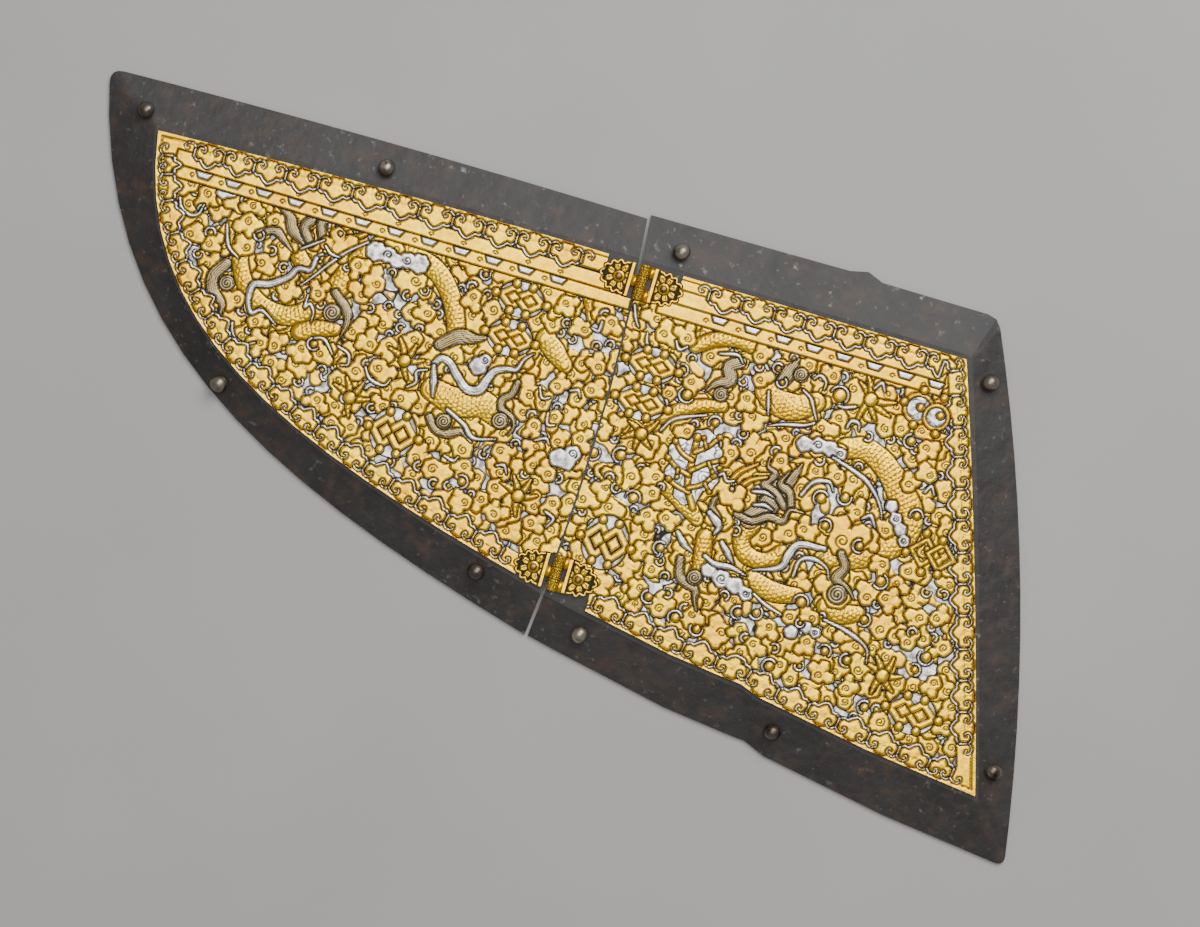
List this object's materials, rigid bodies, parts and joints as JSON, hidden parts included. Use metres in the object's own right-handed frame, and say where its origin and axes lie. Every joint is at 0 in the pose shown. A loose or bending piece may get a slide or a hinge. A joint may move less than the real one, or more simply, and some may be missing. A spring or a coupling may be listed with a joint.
{
  "type": "pair of crinet plates",
  "caption": "Two hinged iron plates with gilt and silvered relief panels, from the side of a horse's neck armour, lying face up.",
  "frame": {"origin": "centre of the object's footprint, on the surface that it lies on", "axes": "+X along the crest edge towards the withers, +Y up the seam towards the crest, +Z out of the decorated face"},
  "size_m": [0.431, 0.2122, 0.0098],
  "materials": {
    "plate_iron": "dark patinated iron with rust specks and worn edges",
    "gilt_relief": "chiselled relief, fire gilt on silvered ground",
    "hinge_gilt": "engraved gilt iron with dark recesses",
    "stud_iron": "worn bright iron",
    "pin_iron": "dark iron",
    "rivet_brass": "dull brass"
  },
  "bodies": {
    "rear": {"rear_plate": "plate_iron", "rear_panel": "gilt_relief", "rear_stud_1": "stud_iron", "rear_stud_2": "stud_iron", "rear_stud_3": "stud_iron", "rear_stud_4": "stud_iron", "rear_stud_5": "stud_iron", "upper_rear_leaf": "hinge_gilt", "lower_rear_leaf": "hinge_gilt", "upper_rear_rivet": "rivet_brass", "lower_rear_rivet": "rivet_brass", "upper_hinge_pin": "pin_iron", "lower_hinge_pin": "pin_iron"},
    "fore": {"fore_plate": "plate_iron", "fore_panel": "gilt_relief", "fore_stud_1": "stud_iron", "fore_stud_2": "stud_iron", "fore_stud_3": "stud_iron", "fore_stud_4": "stud_iron", "upper_fore_leaf": "hinge_gilt", "lower_fore_leaf": "hinge_gilt", "upper_fore_rivet": "rivet_brass", "lower_fore_rivet": "rivet_brass"}
  },
  "joints": [
    {"name": "plate_hinge", "type": "hinge", "parent": "rear", "child": "fore", "pos_m": [0.01117, 0.01584, 0.007], "axis": [0, 1, 0], "range_deg": [-5, 160]}
  ]
}
